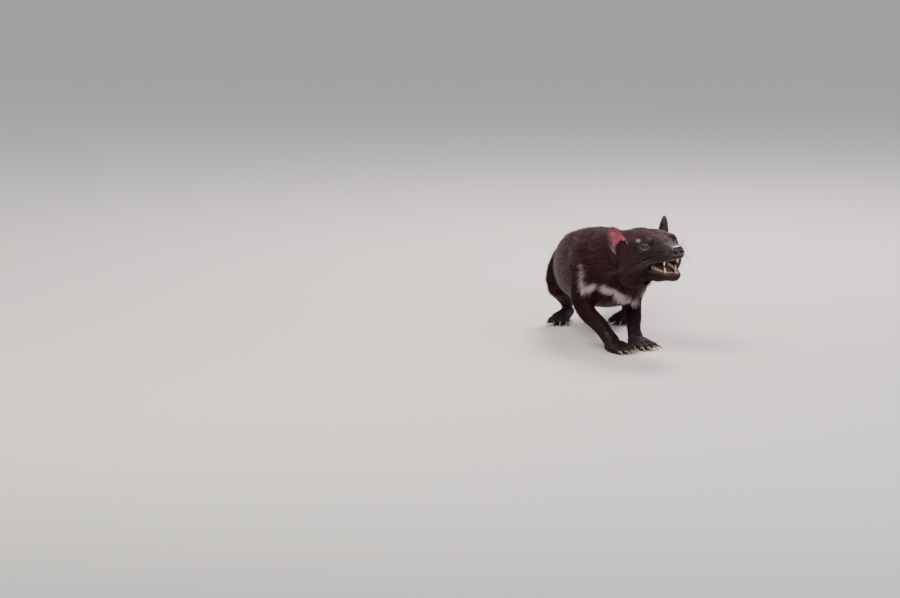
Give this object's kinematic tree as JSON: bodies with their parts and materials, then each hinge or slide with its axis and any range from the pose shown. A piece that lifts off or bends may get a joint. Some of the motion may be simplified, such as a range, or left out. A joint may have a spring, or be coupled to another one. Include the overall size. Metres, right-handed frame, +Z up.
{
  "type": "tasmanian devil model",
  "caption": "Life-size still model of a Tasmanian devil braced low on bent legs, its body curved and its head turned, with the jaws parted.",
  "frame": {"origin": "on the floor, under the middle of the whole model's box", "axes": "+X ahead, from the tail towards the nose; +Y to the animal's left; +Z up"},
  "size_m": [0.7094, 0.4218, 0.2315],
  "materials": {
    "fur": "matte fur",
    "ear_skin": "thin bare skin",
    "eye": "wet gloss",
    "nose_skin": "moist pebbled skin",
    "tongue": "moist skin",
    "claw_horn": "worn horn"
  },
  "bodies": {
    "root": {"belly": "fur", "chest": "fur", "ear_left": "ear_skin", "ear_right": "ear_skin", "eye_left": "eye", "eye_right": "eye", "forefoot_left": "fur", "forefoot_left_claw_1": "claw_horn", "forefoot_left_claw_2": "claw_horn", "forefoot_left_claw_3": "claw_horn", "forefoot_left_claw_4": "claw_horn", "forefoot_left_claw_5": "claw_horn", "forefoot_right": "fur", "forefoot_right_claw_1": "claw_horn", "forefoot_right_claw_2": "claw_horn", "forefoot_right_claw_3": "claw_horn", "forefoot_right_claw_4": "claw_horn", "forefoot_right_claw_5": "claw_horn", "foreleg_left": "fur", "foreleg_right": "fur", "head": "fur", "hindfoot_left": "fur", "hindfoot_left_claw_1": "claw_horn", "hindfoot_left_claw_2": "claw_horn", "hindfoot_left_claw_3": "claw_horn", "hindfoot_left_claw_4": "claw_horn", "hindfoot_right": "fur", "hindfoot_right_claw_1": "claw_horn", "hindfoot_right_claw_2": "claw_horn", "hindfoot_right_claw_3": "claw_horn", "hindfoot_right_claw_4": "claw_horn", "hindleg_left": "fur", "hindleg_right": "fur", "lower_jaw": "fur", "neck": "fur", "nose": "nose_skin", "rump": "fur", "tail": "fur", "tongue": "tongue"}
  },
  "joints": []
}
